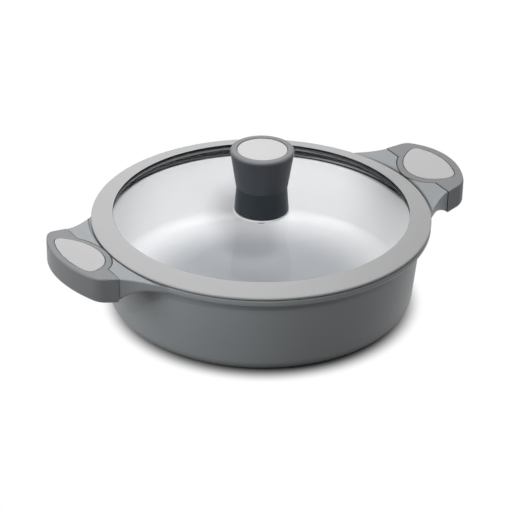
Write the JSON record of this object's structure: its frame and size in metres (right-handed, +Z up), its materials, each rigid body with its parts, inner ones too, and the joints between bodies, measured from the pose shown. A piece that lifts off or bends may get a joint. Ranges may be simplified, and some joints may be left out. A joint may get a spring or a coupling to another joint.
{
  "type": "shallow pot with lid",
  "caption": "Shallow round cast pot with side grips and a lift-off glass lid that has a wide soft rim and a flared knob.",
  "frame": {"origin": "on the surface that the pot stands on, on the pot's axis", "axes": "+Z up along the pot's axis, +X through the grips, towards the right-hand grip"},
  "size_m": [0.391, 0.2936, 0.141],
  "materials": {
    "cast_body": "matt grey coating over cast aluminium, fine grain",
    "base_steel": "brushed in rings",
    "grip": "soft-touch moulded grey",
    "light_pad": "light grey soft-touch",
    "screw_steel": "plated",
    "lid_glass": "clear tempered",
    "rim_silicone": "light grey silicone, satin",
    "knob_dark": "dark moulded, satin",
    "knob_upper": "soft-touch moulded grey",
    "nut_brass": "turned"
  },
  "bodies": {
    "pot": {"pot_body": "cast_body", "induction_disc": "base_steel", "handle_grip_left": "grip", "handle_grip_right": "grip", "handle_insert_left": "light_pad", "handle_insert_right": "light_pad", "handle_screw_left_front": "screw_steel", "handle_screw_left_back": "screw_steel", "handle_screw_right_front": "screw_steel", "handle_screw_right_back": "screw_steel"},
    "lid": {"lid_glass": "lid_glass", "lid_rim": "rim_silicone", "knob_foot_ring": "rim_silicone", "knob_base": "knob_dark", "knob_grip": "knob_upper", "knob_cap": "light_pad", "knob_nut": "nut_brass", "knob_gasket": "rim_silicone", "knob_washer": "base_steel", "knob_screw": "screw_steel"}
  },
  "joints": [
    {"name": "lid_lift", "type": "slide", "parent": "pot", "child": "lid", "axis": [0, 0, 1], "range_m": [0, 0.15]}
  ]
}
